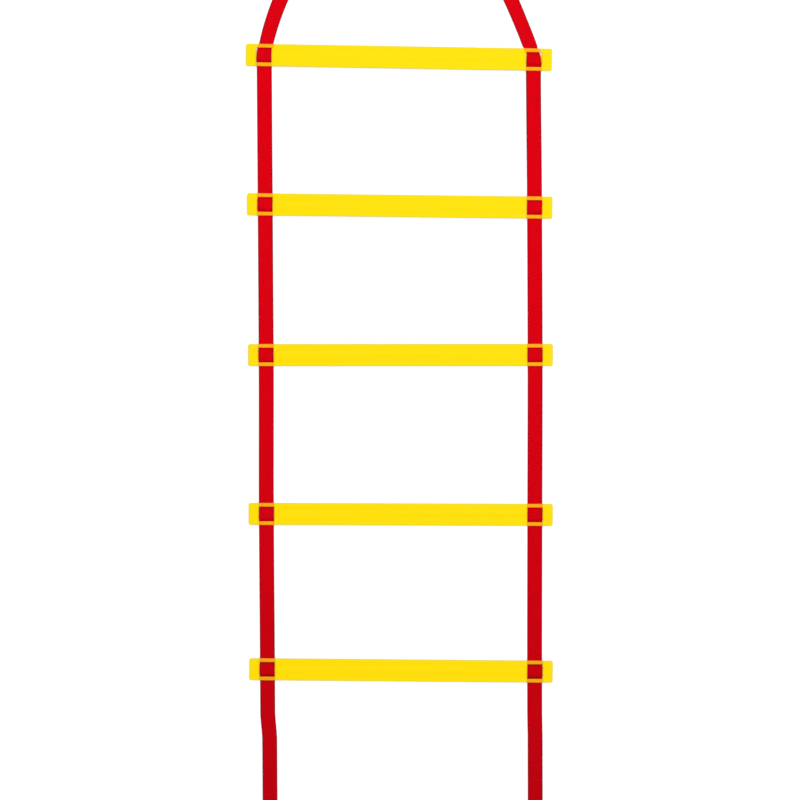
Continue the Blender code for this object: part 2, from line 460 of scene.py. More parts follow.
class Shading:
    """Adds nodes to a material or a node group and joins them up."""

    def __init__(self, tree):
        self.tree = tree

    def node(self, kind, **settings):
        made = self.tree.nodes.new(kind)
        for key, value in settings.items():
            setattr(made, key, value)
        return made

    def feed(self, socket, value):
        if isinstance(value, bpy.types.NodeSocket):
            self.tree.links.new(value, socket)
        else:
            socket.default_value = value

    def feed_all(self, node, values):
        """Feed some of a node's inputs, by name or number, and give the node back."""
        for key, value in values.items():
            self.feed(node.inputs[key], value)
        return node

    def maths(self, operation, *values, clamp=False):
        made = self.node("ShaderNodeMath", operation=operation, use_clamp=clamp)
        return self.feed_all(made, dict(enumerate(values))).outputs[0]

    def smooth(self, value, start, stop, low=0.0, high=1.0):
        """Value turned smoothly from low to high between start and stop."""
        made = self.node("ShaderNodeMapRange", interpolation_type="SMOOTHSTEP")
        values = {"Value": value, "From Min": start, "From Max": stop, "To Min": low, "To Max": high}
        return self.feed_all(made, values).outputs["Result"]

    def noise(self, vector, scale, detail):
        values = {"Vector": vector, "Scale": scale, "Detail": detail}
        return self.feed_all(self.node("ShaderNodeTexNoise"), values).outputs["Fac"]

    def stretched(self, vector, scale):
        made = self.node("ShaderNodeVectorMath", operation="MULTIPLY")
        return self.feed_all(made, {0: vector, 1: scale}).outputs["Vector"]

    def blend(self, share, first, second, kind="RGBA", mode="MIX"):
        made = self.node("ShaderNodeMix", data_type=kind, blend_type=mode)
        return self.feed_all(made, {"Factor": share, "A": first, "B": second}).outputs["Result"]

    def parts(self, vector):
        return self.feed_all(self.node("ShaderNodeSeparateXYZ"), {0: vector}).outputs

    def relief(self, height, strength, distance):
        values = {"Height": height, "Strength": strength, "Distance": distance}
        return self.feed_all(self.node("ShaderNodeBump"), values).outputs["Normal"]

    def surface(self):
        return self.node("ShaderNodeUVMap", uv_map="UVMap").outputs["UV"]

    def group(self, name, values):
        made = self.node("ShaderNodeGroup", node_tree=bpy.data.node_groups[name])
        return self.feed_all(made, values).outputs


def new_group(name, numbers, results):
    """Empty shader node group that takes a place and some numbers: its builder, what enters and its exit."""
    tree = bpy.data.node_groups.new(name, "ShaderNodeTree")
    tree.interface.new_socket(name="Place", in_out="INPUT", socket_type="NodeSocketVector")
    for label, value in numbers.items():
        socket = tree.interface.new_socket(name=label, in_out="INPUT", socket_type="NodeSocketFloat")
        socket.default_value = value
    for label in results:
        tree.interface.new_socket(name=label, in_out="OUTPUT", socket_type="NodeSocketFloat")
    shading = Shading(tree)
    return shading, shading.node("NodeGroupInput").outputs, shading.node("NodeGroupOutput")


def new_material(name):
    material = bpy.data.materials.new(name)
    material.use_nodes = True
    return Shading(material.node_tree), material.node_tree.nodes["Principled BSDF"]


def make_weave_group():
    """Narrow-fabric weave: lengthwise ribs of slanted yarns, flat borders, painted shade where its relief is
    low, and a soft uneven tone.
    """
    shading, entry, leave = new_group(
        "Webbing Weave",
        {"Rib Width": 0.00125, "Yarn Pitch": 0.0017, "Border Place": 0.0080, "Mottle": 0.11},
        ("Height", "Shade and Mottle", "Border"),
    )
    place = entry["Place"]
    across, along, _ = shading.parts(place)
    rib = shading.maths("DIVIDE", across, entry["Rib Width"])
    slant = shading.maths("PINGPONG", rib, 1.0)
    pick = shading.maths("DIVIDE", along, entry["Yarn Pitch"])
    yarn_turn = shading.maths("MULTIPLY", shading.maths("MULTIPLY_ADD", slant, YARN_SLANT, pick), math.tau)
    yarn = shading.maths("MULTIPLY_ADD", shading.maths("SINE", yarn_turn), 0.5, 0.5)
    rib_turn = shading.maths("MULTIPLY", rib, math.pi)
    groove = shading.maths("POWER", shading.maths("ABSOLUTE", shading.maths("SINE", rib_turn)), GROOVE_POWER)
    border = shading.smooth(shading.maths("ABSOLUTE", across), entry["Border Place"], BORDER_END)
    woven = shading.maths("MULTIPLY_ADD", yarn, YARN_HEIGHT, shading.maths("MULTIPLY", groove, RIB_HEIGHT))
    edge_turn = shading.maths("MULTIPLY", pick, BORDER_YARNS * math.tau)
    edge_yarn = shading.maths("MULTIPLY_ADD", shading.maths("SINE", edge_turn), BORDER_SWING, BORDER_HEIGHT)
    height = shading.blend(border, woven, edge_yarn, "FLOAT")
    broad = shading.noise(shading.stretched(place, BROAD_MOTTLE), 1.0, 3.0)
    fine = shading.noise(shading.stretched(place, FINE_MOTTLE), 1.0, 1.0)
    both = shading.maths("MULTIPLY_ADD", fine, FINE_SHARE, broad)
    uneven = shading.maths("SUBTRACT", both, (1 + FINE_SHARE) / 2)
    raised = shading.blend(border, woven, BORDER_TONE, "FLOAT")
    # Painted shade: the weave is darker where its relief is low
    painted_shade = shading.smooth(raised, 0.0, LIGHT_HEIGHT, *GROOVE_SHADE_TONES)
    mottle = shading.maths("MULTIPLY", uneven, entry["Mottle"])
    tone = shading.maths("MULTIPLY_ADD", mottle, MOTTLE_GAIN, painted_shade)
    shading.feed_all(leave, {"Height": height, "Shade and Mottle": tone, "Border": border})


def make_rung_masks_group():
    """Masks on a rung for painted light: shade on its rounded edge, the webbing seen through the strip that
    lies over it, and reflection on the rim of its slots.
    """
    size = sizes()
    shading, entry, leave = new_group("Rung Masks", {"Drift": 0.0}, ("Edge", "See Through", "Rim Reflection"))
    along, across, _ = shading.parts(entry["Place"])
    along = shading.maths("ABSOLUTE", along)
    beyond_slot = shading.smooth(across, size.rung_width / 2 - 2 * size.lip_width, size.rung_width / 2)
    drift = shading.maths("MULTIPLY", beyond_slot, entry["Drift"])
    across = shading.maths("ABSOLUTE", across)
    past_end = shading.maths("SUBTRACT", along, size.rung_length / 2)
    past_side = shading.maths("SUBTRACT", across, size.rung_width / 2)
    # Painted shade on the rounded edge
    edge = shading.smooth(shading.maths("MAXIMUM", past_end, past_side), *EDGE_SHADE_BAND)
    from_slot = shading.maths("ABSOLUTE", shading.maths("SUBTRACT", along, size.half_spacing))
    # Painted see-through: where the webbing lies under the plastic, with a soft blur
    from_strap = shading.maths("SUBTRACT", shading.maths("ADD", along, drift), size.half_spacing)
    half_webbing = size.webbing_width / 2
    off_strap = shading.maths("ABSOLUTE", from_strap)
    strap = shading.smooth(off_strap, half_webbing, half_webbing + WEBBING_BLUR, 1.0, 0.0)
    slot_middle = size.rung_width / 2 - size.lip_width - size.slot_width / 2
    from_slot_end = shading.maths("SUBTRACT", from_slot, size.slot_length / 2)
    from_window_side = shading.maths("SUBTRACT", across, slot_middle + size.slot_width / 2)
    # Painted reflection and shade round the slot
    rim = shading.smooth(shading.maths("MAXIMUM", from_slot_end, from_window_side), *RIM_REFLECTION_BAND, 1.0, 0.0)
    shading.feed_all(leave, {"Edge": edge, "See Through": strap, "Rim Reflection": rim})


def make_grain_group():
    """Fine grain and soft clouds of moulded plastic."""
    shading, entry, leave = new_group("Moulded Grain", {"Grain Scale": GRAIN_SCALE}, ("Grain", "Cloud"))
    place = entry["Place"]
    grain = shading.noise(place, entry["Grain Scale"], 2.0)
    shading.feed_all(leave, {"Grain": grain, "Cloud": shading.noise(place, CLOUD_SCALE, 3.0)})


def make_plastic():
    """Yellow plastic with painted light: the webbing under it painted as orange see-through, painted shade on
    its edges and a painted warm reflection round its slots.
    """
    tint = colours()
    shading, shader = new_material("yellow rung plastic")
    surface = shading.surface()
    drift = shading.node("ShaderNodeAttribute", attribute_name="strap_drift").outputs["Fac"]
    masks = shading.group("Rung Masks", {"Place": surface, "Drift": drift})
    grain = shading.group("Moulded Grain", {"Place": surface, "Grain Scale": GRAIN_SCALE})
    cloud = shading.smooth(grain["Cloud"], *CLOUD_RANGE, 0.0, CLOUD_SHARE)
    base = shading.blend(cloud, opaque(tint.plastic), opaque(tint.plastic_cloud))
    # Painted reflection and shade round the slots
    painted_rim_reflection = shading.maths("MULTIPLY", masks["Rim Reflection"], RIM_REFLECTION_SHARE)
    base = shading.blend(painted_rim_reflection, base, opaque(tint.plastic_rim_reflection))
    # Painted see-through of the webbing, darker where the painted shade darkens its red
    falloff_shade = shading.node("ShaderNodeAttribute", attribute_name="webbing_shade").outputs["Fac"]
    see_through, shaded_see_through = opaque(tint.webbing_seen_through_plastic), opaque(tint.shaded_webbing_seen_through_plastic)
    base = shading.blend(masks["See Through"], base, shading.blend(falloff_shade, see_through, shaded_see_through))
    # Painted shade on the rounded edges, redder where the webbing is painted as seen through
    edge = shading.maths("MULTIPLY", masks["Edge"], EDGE_SHADE_SHARE)
    edge_shade_tint = shading.blend(masks["See Through"], opaque(tint.plastic_edge_shade), opaque(tint.edge_shade_over_webbing))
    shading.feed_all(shader, {
        "Base Color": shading.blend(edge, base, edge_shade_tint),
        "Roughness": shading.smooth(grain["Grain"], *GRAIN_RANGE, *PLASTIC_ROUGHNESS),
        "Specular IOR Level": PLASTIC_GLOSS,
        "Normal": shading.relief(grain["Grain"], GRAIN_STRENGTH, GRAIN_DEPTH),
    })


def make_webbing():
    """Red woven webbing with darker borders, melted cut ends and painted shade that darkens its red along the
    strap, towards its bottom end.
    """
    tint = colours()
    shading, shader = new_material("red woven webbing")
    surface = shading.surface()
    weave = shading.group("Webbing Weave", {"Place": surface})
    _, along, _ = shading.parts(surface)
    low_end = shading.smooth(along, *MELT_BAND, 1.0, 0.0)
    high_end = shading.smooth(along, STRAP_LENGTH - MELT_BAND[1], STRAP_LENGTH - MELT_BAND[0])
    melted = shading.maths("MAXIMUM", low_end, high_end)
    border = shading.maths("MULTIPLY", weave["Border"], BORDER_SHARE)
    base = shading.blend(border, opaque(tint.webbing), opaque(tint.webbing_edge))
    # Painted shade where the weave's relief is low, with its random mottle
    base = shading.blend(1.0, base, weave["Shade and Mottle"], mode="MULTIPLY")
    # Painted shade: the red darkens along the strap towards its bottom end
    past_start = shading.maths("MULTIPLY_ADD", along, 1 / SHADE_FALLOFF_RUN, -SHADE_FALLOFF_START / SHADE_FALLOFF_RUN)
    past_start = shading.maths("MAXIMUM", past_start, 0.0)
    falloff_shade = shading.maths("MULTIPLY", shading.maths("POWER", past_start, SHADE_FALLOFF_POWER), SHADE_FALLOFF_SHARE)
    falloff_shade = shading.maths("MINIMUM", falloff_shade, SHADE_FALLOFF_LIMIT)
    base = shading.blend(falloff_shade, base, opaque(tint.webbing_shaded))
    left_raised = shading.smooth(melted, 0.0, 1.0, 1.0, MELTED_RELIEF)
    height = shading.maths("MULTIPLY", weave["Height"], left_raised)
    shading.feed_all(shader, {
        "Base Color": shading.blend(melted, base, opaque(tint.webbing_melted)),
        "Roughness": shading.smooth(melted, 0.0, 1.0, WEBBING_ROUGHNESS, MELTED_ROUGHNESS),
        "Specular IOR Level": WEBBING_GLOSS,
        "Normal": shading.relief(height, WEAVE_STRENGTH, WEAVE_DEPTH),
    })


def make_thread():
    """Twisted sewing thread."""
    tint = colours().thread
    shading, shader = new_material("red sewing thread")
    across, along, _ = shading.parts(shading.surface())
    twist = shading.maths("MULTIPLY", shading.maths("ADD", across, along), math.tau / TWIST_PITCH)
    strand = shading.maths("MULTIPLY_ADD", shading.maths("SINE", twist), 0.5, 0.5)
    dark = [STRAND_TONE * part for part in tint]
    shading.feed_all(shader, {
        "Base Color": shading.blend(strand, opaque(dark), opaque(tint)),
        "Roughness": THREAD_ROUGHNESS,
        "Specular IOR Level": THREAD_GLOSS,
        "Normal": shading.relief(strand, TWIST_STRENGTH, TWIST_DEPTH),
    })


# The straps' middle lines

def side_name(side):
    return "left" if side < 0 else "right"


def low_level():
    return sizes().webbing_thickness / 2


def high_level():
    size = sizes()
    return RUNG_TOP + size.clearance + size.webbing_thickness / 2


def crossing_level():
    size = sizes()
    return low_level() + size.webbing_thickness + size.clearance


def ramp():
    """From a rung's middle to where the webbing's ramps leave the ground and to where they reach the top."""
    size = sizes()
    middle = size.rung_width / 2 - size.lip_width - size.slot_width / 2
    half_run = (high_level() - low_level()) / math.tan(size.weave_slope) / 2
    return middle + half_run, middle - half_run


def weave_middle(side, number):
    """Where a strap's middle line passes the middle of a rung."""
    return RUNG_PLACES[number] + side * sizes().half_spacing * math.tan(RUNG_TILTS[number])


def loop_start(end):
    if end == "bottom":
        return sizes().straight_tail
    tilt_reach = sizes().half_spacing * math.tan(max(abs(tilt) for tilt in RUNG_TILTS))
    return ramp()[0] + tilt_reach + LOOP_SETBACK


def loop_lean(end):
    """How a loop leans in: its slope where it starts, how fast that grows, and its slope at the crossing."""
    size = sizes()
    start_slope = TOP_LOOP_SLOPE if end == "top" else 0.0
    growth = (size.half_spacing - start_slope * size.loop_run) / size.loop_run**2
    return start_slope, growth, start_slope + 2 * growth * size.loop_run


def end_place(end):
    return RUNG_PLACES[0] if end == "top" else RUNG_PLACES[-1]


def crossing_place(end):
    return end_place(end) + ENDS[end] * (loop_start(end) + sizes().loop_run)


def hinge_places():
    """Lines across the ladder where it folds: the top loop's, those between rungs and the bottom loop's."""
    return [RUNG_PLACES[0] + LOOP_HINGE_REACH, *FOLD_PLACES, RUNG_PLACES[-1] - LOOP_HINGE_REACH]


def smooth_through(knots, places):
    """Values at some places on a smooth curve through knots of (place, value) that never overshoots them."""
    at, value = np.array(sorted(knots)).T
    gap = np.diff(at)
    slope = np.diff(value) / gap
    steep = np.concatenate([slope[:1], np.zeros(len(at) - 2), slope[-1:]])
    for knot in range(1, len(at) - 1):
        if slope[knot - 1] * slope[knot] > 0:
            first, second = 2 * gap[knot] + gap[knot - 1], gap[knot] + 2 * gap[knot - 1]
            steep[knot] = (first + second) / (first / slope[knot - 1] + second / slope[knot])
    places = np.asarray(places, dtype=float)
    step = np.clip(np.searchsorted(at, places) - 1, 0, len(gap) - 1)
    t = (places - at[step]) / gap[step]
    rise = gap[step] * (steep[step] * t * (1 - t) ** 2 - steep[step + 1] * t**2 * (1 - t))
    return value[step] * (1 + 2 * t) * (1 - t) ** 2 + value[step + 1] * t**2 * (3 - 2 * t) + rise


def loop_inward(end, y):
    """How far a strap lies in from its straight line in an end loop."""
    start_slope, growth, _ = loop_lean(end)
    run = max(abs(y - end_place(end)) - loop_start(end), 0)
    return start_slope * run + growth * run**2


def strap_lie(side):
    """Knots of a strap's lie on the floor, which eases into the end loops' curves beyond its loose part."""
    name = side_name(side)
    sways, tail_sway = RUNG_SWAYS[name], TAIL_SWAYS[name]
    height, slope, growth = TOP_LEANS[name]
    start = weave_middle(side, 0) + height
    runs = np.arange(LEAN_RUN, 0, -LEAN_STEP)
    knots = [(start + run, sways[0] + slope * run + growth * run**2) for run in runs]
    knots.append((start, sways[0]))
    knots += [(weave_middle(side, number), sway) for number, sway in enumerate(sways)]
    knots.append((RUNG_PLACES[-1] - TAIL_TURN[0], sways[-1]))
    knots += [(RUNG_PLACES[-1] - below, tail_sway) for below in (TAIL_TURN[1], TAIL_RUN)]
    for end, last, before in (("top", knots[0], knots[1]), ("bottom", knots[-1], knots[-2])):
        away, away_before = (inward - loop_inward(end, y) for y, inward in (last, before))
        lean_away = (away - away_before) / abs(last[0] - before[0])
        whole_run = abs(crossing_place(end) - last[0]) + END_REACH
        for run in np.arange(EASE_STEP, whole_run + EASE_STEP, EASE_STEP):
            y = last[0] + ENDS[end] * run
            share = min(run / EASE_REACH, 1)
            left_over = away * (1 + 2 * share) + lean_away * EASE_REACH * share
            knots.append((y, loop_inward(end, y) + left_over * (1 - share) ** 2))
    return knots


def strap_width(side, ys):
    """Width of a strap at some places along Y, less where it is gathered."""
    width = sizes().webbing_width
    for height, painted_shade, below, above in STRAP_GATHERS[side_name(side)]:
        away = np.asarray(ys) - weave_middle(side, 0) - height
        width = width - painted_shade * (1 - eased(away / above)) * (1 - eased(-away / below))
    return width


def eased(share):
    """Share of a change that starts and stops gently."""
    share = np.clip(share, 0, 1)
    return share * share * (3 - 2 * share)


def strap_places(side, ys):
    """Where a strap's middle lies along X at some places along Y, and how its rows turn there."""
    size = sizes()
    ys = np.asarray(ys, dtype=float)
    knots = strap_lie(side)
    ahead = smooth_through(knots, ys + TURN_REACH)
    behind = smooth_through(knots, ys - TURN_REACH)
    slope = (ahead - behind) / (2 * TURN_REACH)
    places = side * (size.half_spacing - smooth_through(knots, ys))
    turn = np.arctan(side * slope)
    play = np.maximum((size.slot_length - strap_width(side, ys)) / 2 - SLOT_PLAY, 0)
    for number, tilt in enumerate(RUNG_TILTS):
        from_middle = ys - weave_middle(side, number)
        freed = eased((np.abs(from_middle) - TURN_HOLD) / TURN_RELEASE)
        turn = tilt * (1 - freed) + turn * freed
        slot = RUNG_SHIFTS[number] + side * size.half_spacing * math.cos(tilt) - from_middle * math.sin(tilt)
        held = slot + np.clip(places - slot, -play, play)
        freed = eased((np.abs(from_middle) - SLOT_HOLD) / SLOT_RELEASE)
        places = held * (1 - freed) + places * freed
    return places, turn


def ground_level(side, y):
    """Height of a strap's middle on the floor: the left strap climbs over the right one at each crossing."""
    if side > 0:
        return low_level()
    end = "top" if y > 0 else "bottom"
    to_crossing = ENDS[end] * (crossing_place(end) - y) * math.hypot(1, loop_lean(end)[2])
    share = eased((CLIMB_START - to_crossing) / CLIMB_RUN)
    return low_level() + (crossing_level() - low_level()) * share


def steps_between(start, stop, longest):
    count = max(math.ceil(abs(stop - start) / longest), 1)
    return [start + (stop - start) * step / count for step in range(1, count + 1)]


def rounded_corner(before, corner, after, reach, count=7):
    start = corner + (before - corner).normalized() * reach
    stop = corner + (after - corner).normalized() * reach
    shares = [step / (count - 1) for step in range(count)]
    return [start.lerp(corner, share).lerp(corner.lerp(stop, share), share) for share in shares]


def cuts(side):
    """Pieces that a strap is cut into, from the top: each one's name, ends, bodies, nodes and bend."""
    rung_reach = sizes().rung_width / 2 + RUNG_MARGIN
    strap = side_name(side)
    hinges = hinge_places()
    pieces = []

    def strap_end(end):
        return crossing_place(end) + ENDS[end] * END_REACH / math.hypot(1, loop_lean(end)[2])

    def add(name, upper, lower, bodies, nodes, bend=None):
        pieces.append({
            "name": f"{name}_{strap}", "upper": upper, "lower": lower,
            "bodies": bodies, "nodes": nodes, "bend": bend or (upper, lower),
        })

    def add_fold(name, hinge, bodies, node, lifts):
        """Webbing across a hinge, with its bend run set mostly on the side that lifts."""
        upper, lower = hinge + FOLD_REACH, hinge - FOLD_REACH
        bend = (upper, hinge - FOLD_HEEL) if lifts == "upper" else (hinge + FOLD_HEEL, lower)
        add(name, upper, lower, bodies, [node], bend)

    nodes = [f"loop_{strap}_top"]
    add("webbing_loop_top", strap_end("top"), hinges[0] + FOLD_REACH, ["loop_top"], nodes)
    add_fold("webbing_fold_top", hinges[0], ["loop_top", "panel_1"], f"fold_{strap}_top", "upper")
    for number in range(RUNG_COUNT):
        label = number + 1
        panel, rung = f"panel_{label}", f"rung_{label}"
        nodes = [f"strap_{strap}_{label}"]
        upper, lower = hinges[number] - FOLD_REACH, hinges[number + 1] + FOLD_REACH
        above, below = weave_middle(side, number) + rung_reach, weave_middle(side, number) - rung_reach
        add(f"webbing_above_rung_{label}", upper, above, [panel, rung], nodes)
        add(f"webbing_in_rung_{label}", above, below, [rung], [])
        add(f"webbing_below_rung_{label}", below, lower, [rung, panel], nodes)
        if label < RUNG_COUNT:
            bodies = [panel, f"panel_{label + 1}"]
            node = f"fold_{strap}_{label}{label + 1}"
            add_fold(f"webbing_fold_{label}_{label + 1}", hinges[label], bodies, node, "upper")
    bodies = [f"panel_{RUNG_COUNT}", "loop_bottom"]
    add_fold("webbing_fold_bottom", hinges[-1], bodies, f"fold_{strap}_bottom", "lower")
    nodes = [f"tail_{strap}", f"loop_{strap}_bottom"]
    add("webbing_loop_bottom", hinges[-1] - FOLD_REACH, strap_end("bottom"), ["loop_bottom"], nodes)
    return pieces


def strap_stations(side):
    """A strap's middle line from its top end to its bottom end, with its width and turn at each point."""
    size = sizes()
    foot, head = ramp()
    low, high = low_level(), high_level()
    pieces = cuts(side)
    ends = {round(piece[end], PLACE_DIGITS) for piece in pieces for end in ("upper", "lower")}
    places = sorted(ends, reverse=True)
    stations = [Vector((0, places[0], ground_level(side, places[0])))]

    def run_to(y):
        """Lie on the ground down to y, through every cut on the way, in shorter steps where it folds."""
        here = stations[-1].y
        for stop in [place for place in places if here - HAIR > place > y + HAIR] + [y]:
            middle = (stations[-1].y + stop) / 2
            folds = any(abs(middle - hinge) < FOLD_REACH for hinge in hinge_places())
            for step in steps_between(stations[-1].y, stop, FOLD_STEP if folds else FLAT_STEP):
                stations.append(Vector((0, step, ground_level(side, step))))

    for number in range(RUNG_COUNT):
        middle = weave_middle(side, number)
        bends = [(size.rung_width / 2, low), (foot, low), (head, high)]
        bends += [(-away, level) for away, level in reversed(bends)]
        corners = [Vector((0, middle + away, level)) for away, level in bends]
        run_to(middle + foot + CORNER_REACH + CORNER_GAP)
        for before, corner, after in zip(corners, corners[1:], corners[2:]):
            stations.extend(rounded_corner(before, corner, after, CORNER_REACH))
    run_to(places[-1])
    ys = [station.y for station in stations]
    xs, turns = strap_places(side, ys)
    for station, x in zip(stations, xs):
        station.x = x
    return stations, strap_width(side, ys), turns


def running_lengths(stations):
    """Length of strap up to each point, evened out so that both straps measure the same."""
    lengths = [0.0]
    for before, after in zip(stations, stations[1:]):
        lengths.append(lengths[-1] + (after - before).length)
    return [length * STRAP_LENGTH / lengths[-1] for length in lengths]


def webbing_shades():
    """How far the painted shade has darkened the webbing's red where it passes each rung."""
    stations = strap_stations(SIDES["right"])[0]
    lengths = running_lengths(stations)
    shades = []
    for place in RUNG_PLACES:
        nearest = min(range(len(stations)), key=lambda index: abs(stations[index].y - place))
        past_start = max((lengths[nearest] - SHADE_FALLOFF_START) / SHADE_FALLOFF_RUN, 0)
        shades.append(min(SHADE_FALLOFF_SHARE * past_start**SHADE_FALLOFF_POWER, SHADE_FALLOFF_LIMIT))
    return shades


def webbing_section():
    """Points round the webbing's section, from its underside's middle: flat faces and rounded borders."""
    size = sizes()
    half_width, half_thick = size.webbing_width / 2, size.webbing_thickness / 2
    bulge = half_thick * BORDER_BULGE
    shoulder = half_width - bulge
    border = []
    for step in range(BORDER_STEPS + 1):
        angle = math.pi * (step / BORDER_STEPS - 0.5)
        border.append((shoulder + bulge * math.cos(angle), half_thick * math.sin(angle)))
    half_face = [(step / FACE_STEPS * shoulder, -half_thick) for step in range(FACE_STEPS)]
    right = half_face + border + [(across, -up) for across, up in reversed(half_face)]
    left = [(-across, up) for across, up in reversed(right[:-1])]
    return right + left


def lay_webbing(name, stations, lengths, widths, turns):
    """One closed length of webbing: a grid wrapped round its section and laid along its middle line."""
    section = webbing_section()
    columns, rows = len(section), len(stations)
    piece = new_grid(name, columns - 1, rows - 1)
    mesh = piece.data
    if len(mesh.vertices) != columns * rows:
        raise RuntimeError(f"{name}: the grid has {len(mesh.vertices)} points instead of {columns * rows}")
    grid = point_positions(mesh)
    column = np.rint((grid[:, 0] + 0.5) * (columns - 1)).astype(int)
    row = np.rint((grid[:, 1] + 0.5) * (rows - 1)).astype(int)
    centres = np.array([list(point) for point in stations])
    ahead = np.gradient(centres, axis=0)
    ahead /= np.linalg.norm(ahead, axis=1)[:, None]
    sideways = np.column_stack([-np.cos(turns), -np.sin(turns), np.zeros(rows)])
    upward = np.cross(sideways, ahead)
    upward /= np.linalg.norm(upward, axis=1)[:, None]
    outline = np.array(section)
    across, up = outline[column, 0], outline[column, 1]
    gathered = across * widths[row] / sizes().webbing_width
    laid = centres[row] + sideways[row] * gathered[:, None] + upward[row] * up[:, None]
    mesh.vertices.foreach_set("co", laid.ravel())
    kept = mesh.attributes.new("across_along", "FLOAT_VECTOR", "POINT")
    marks = np.column_stack([across, np.array(lengths)[row], np.zeros(len(across))])
    kept.data.foreach_set("vector", marks.astype(np.float32).ravel())
    close_shell(WEBBING_MERGE)
    marks = np.zeros(len(mesh.vertices) * 3, dtype=np.float32)
    mesh.attributes["across_along"].data.foreach_get("vector", marks)
    write_surface_map(piece, marks.reshape(-1, 3)[:, :2])
    mesh.attributes.remove(mesh.attributes["across_along"])
    bpy.ops.object.shade_smooth_by_angle(angle=WEBBING_CREASE)
    return piece


class LADDER_OT_make_materials(bpy.types.Operator):
    """Make the plastic, webbing and thread materials and the node groups that they share"""

    bl_idname = "ladder.make_materials"
    bl_label = "Make Materials"

    def execute(self, context):
        make_weave_group()
        make_rung_masks_group()
        make_grain_group()
        make_plastic()
        make_webbing()
        make_thread()
        return {"FINISHED"}


class LADDER_OT_mould_rungs(bpy.types.Operator):
    """Mould one slotted rung and lay a copy of it at each rung's place"""

    bl_idname = "ladder.mould_rungs"
    bl_label = "Mould Rungs"

    def execute(self, context):
        pattern = self.mould_rung()
        for number, painted_shade in enumerate(webbing_shades()):
            self.lay_rung(pattern, number, painted_shade)
        bpy.data.objects.remove(pattern, do_unlink=True)
        return {"FINISHED"}

    def mould_rung(self):
        """Flat slat with two slots at each end and rounded edges, at the middle of the scene."""
        size = sizes()
        outline = bpy.data.curves.new("rung_pattern", "CURVE")
        outline.dimensions = "2D"
        outline.fill_mode = "BOTH"
        outline.extrude = (RUNG_TOP - RUNG_BOTTOM) / 2 - size.edge_radius
        outline.bevel_depth = size.edge_radius
        outline.bevel_resolution = 2
        outline.offset = -size.edge_radius
        rounded_outline(outline, (0, 0), (size.rung_length, size.rung_width), size.corner_radius)
        slot = (size.slot_length, size.slot_width)
        slot_place = size.rung_width / 2 - size.lip_width - size.slot_width / 2
        for side in SIDES.values():
            for across in (-slot_place, slot_place):
                rounded_outline(outline, (side * size.half_spacing, across), slot, size.slot_corner_radius)
        select_only(new_object("rung_pattern", outline))
        bpy.ops.object.convert(target="MESH")
        rung = active_piece("rung_pattern")
        close_shell(RUNG_MERGE)
        self.frame_flats(rung)
        write_surface_map(rung, point_positions(rung.data)[:, :2])
        bpy.ops.object.shade_smooth_by_angle(angle=RUNG_CREASE)
        return rung

    def frame_flats(self, rung):
        """Narrow border round the two flat faces, so that they shade flat up to their rounded edges."""
        for face in rung.data.polygons:
            face.select = abs(face.normal.z) > FLAT_NORMAL
        bpy.ops.object.mode_set(mode="EDIT")
        bpy.ops.mesh.select_mode(type="FACE")
        bpy.ops.mesh.inset(thickness=FLAT_BORDER, use_boundary=True)
        bpy.ops.object.mode_set(mode="OBJECT")

    def lay_rung(self, pattern, number, painted_shade):
        """Copy of the rung at its place on the straps, with its place in its mesh."""
        rung = copy_piece(pattern, f"moulded_rung_{number + 1}")
        place = (RUNG_SHIFTS[number], RUNG_PLACES[number], (RUNG_BOTTOM + RUNG_TOP) / 2)
        lay_down(rung, place, RUNG_TILTS[number])
        # Where the painted see-through of the webbing sits, and how far painted shade has darkened it
        lean_in = FIRST_RUNG_DRIFT if number == 0 else 0.0
        for name, value in (("strap_drift", lean_in), ("webbing_shade", painted_shade)):
            marks = rung.data.attributes.new(name, "FLOAT", "POINT")
            marks.data.foreach_set("value", [value] * len(rung.data.vertices))
        dress(rung, bpy.data.materials["yellow rung plastic"])
        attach(rung, f"rung_{number + 1}")
        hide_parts(f"rung_{number + 1}")


class LADDER_OT_weave_straps(bpy.types.Operator):
    """Lay both straps as continuous webbing through the rungs, cut where the ladder's bodies meet"""

    bl_idname = "ladder.weave_straps"
    bl_label = "Weave Straps"

    def execute(self, context):
        webbing = bpy.data.materials["red woven webbing"]
        for side in SIDES.values():
            stations, widths, turns = strap_stations(side)
            lengths = running_lengths(stations)
            for cut in cuts(side):
                self.lay_cut(cut, stations, lengths, widths, turns, webbing)
        return {"FINISHED"}

    def lay_cut(self, cut, stations, lengths, widths, turns, webbing):
        upper, lower = cut["upper"] + 2 * HAIR, cut["lower"] - 2 * HAIR
        kept = [index for index, point in enumerate(stations) if upper > point.y > lower]
        part = slice(kept[0], kept[-1] + 1)
        piece = lay_webbing(cut["name"], stations[part], lengths[part], widths[part], turns[part])
        dress(piece, webbing)
        bodies = cut["bodies"]
        if len(bodies) == 2:
            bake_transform(piece)
        else:
            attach(piece, bodies[0])
        if cut["nodes"]:
            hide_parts(*cut["nodes"])


